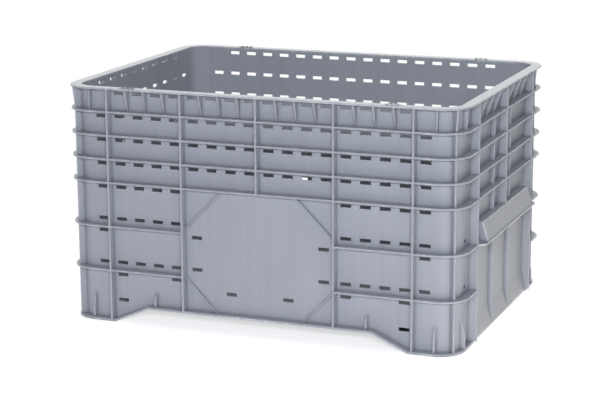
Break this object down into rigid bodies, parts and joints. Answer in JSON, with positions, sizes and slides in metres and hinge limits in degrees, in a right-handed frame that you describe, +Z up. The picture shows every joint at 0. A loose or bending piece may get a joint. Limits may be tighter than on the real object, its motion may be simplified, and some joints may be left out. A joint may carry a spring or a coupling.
{
  "type": "ventilated storage tub",
  "caption": "Open ventilated plastic tub for harvested crops: slotted walls stiffened by rib hoops and posts, hooded hand grips on the ends, a flanged rim and arched feet.",
  "frame": {"origin": "on the ground, midway between the feet", "axes": "+X along the long side towards the right end, +Y from the front to the back, +Z up"},
  "size_m": [0.8228, 0.6, 0.4605],
  "materials": {
    "grey_plastic": "satin moulded, light overall grain"
  },
  "bodies": {
    "root": {"base_flange_back": "grey_plastic", "base_flange_front": "grey_plastic", "base_gussets": "grey_plastic", "corner_back_left": "grey_plastic", "corner_back_right": "grey_plastic", "corner_front_left": "grey_plastic", "corner_front_right": "grey_plastic", "corner_posts": "grey_plastic", "corner_ribs_back_left": "grey_plastic", "corner_ribs_back_right": "grey_plastic", "corner_ribs_front_left": "grey_plastic", "corner_ribs_front_right": "grey_plastic", "end_ribs_left": "grey_plastic", "end_ribs_right": "grey_plastic", "end_sill_left": "grey_plastic", "end_sill_right": "grey_plastic", "floor_deck": "grey_plastic", "floor_ribs_cross": "grey_plastic", "floor_ribs_long": "grey_plastic", "foot_back_left": "grey_plastic", "foot_back_right": "grey_plastic", "foot_front_left": "grey_plastic", "foot_front_right": "grey_plastic", "hand_grip_left": "grey_plastic", "hand_grip_right": "grey_plastic", "panel_braces_back": "grey_plastic", "panel_braces_front": "grey_plastic", "posts_back": "grey_plastic", "posts_front": "grey_plastic", "posts_left": "grey_plastic", "posts_right": "grey_plastic", "rib_hoop_1": "grey_plastic", "rib_hoop_2": "grey_plastic", "rib_hoop_3": "grey_plastic", "rib_hoop_4": "grey_plastic", "rib_hoop_5": "grey_plastic", "rib_hoop_6": "grey_plastic", "rim_back": "grey_plastic", "rim_corner_back_left": "grey_plastic", "rim_corner_back_right": "grey_plastic", "rim_corner_front_left": "grey_plastic", "rim_corner_front_right": "grey_plastic", "rim_front": "grey_plastic", "rim_gussets_back": "grey_plastic", "rim_gussets_front": "grey_plastic", "rim_gussets_left": "grey_plastic", "rim_gussets_right": "grey_plastic", "rim_left": "grey_plastic", "rim_right": "grey_plastic", "runner_ribs_left": "grey_plastic", "runner_ribs_right": "grey_plastic", "runner_web_left": "grey_plastic", "runner_web_right": "grey_plastic", "stacking_teeth": "grey_plastic", "wall_back": "grey_plastic", "wall_front": "grey_plastic", "wall_left": "grey_plastic", "wall_right": "grey_plastic"}
  },
  "joints": []
}
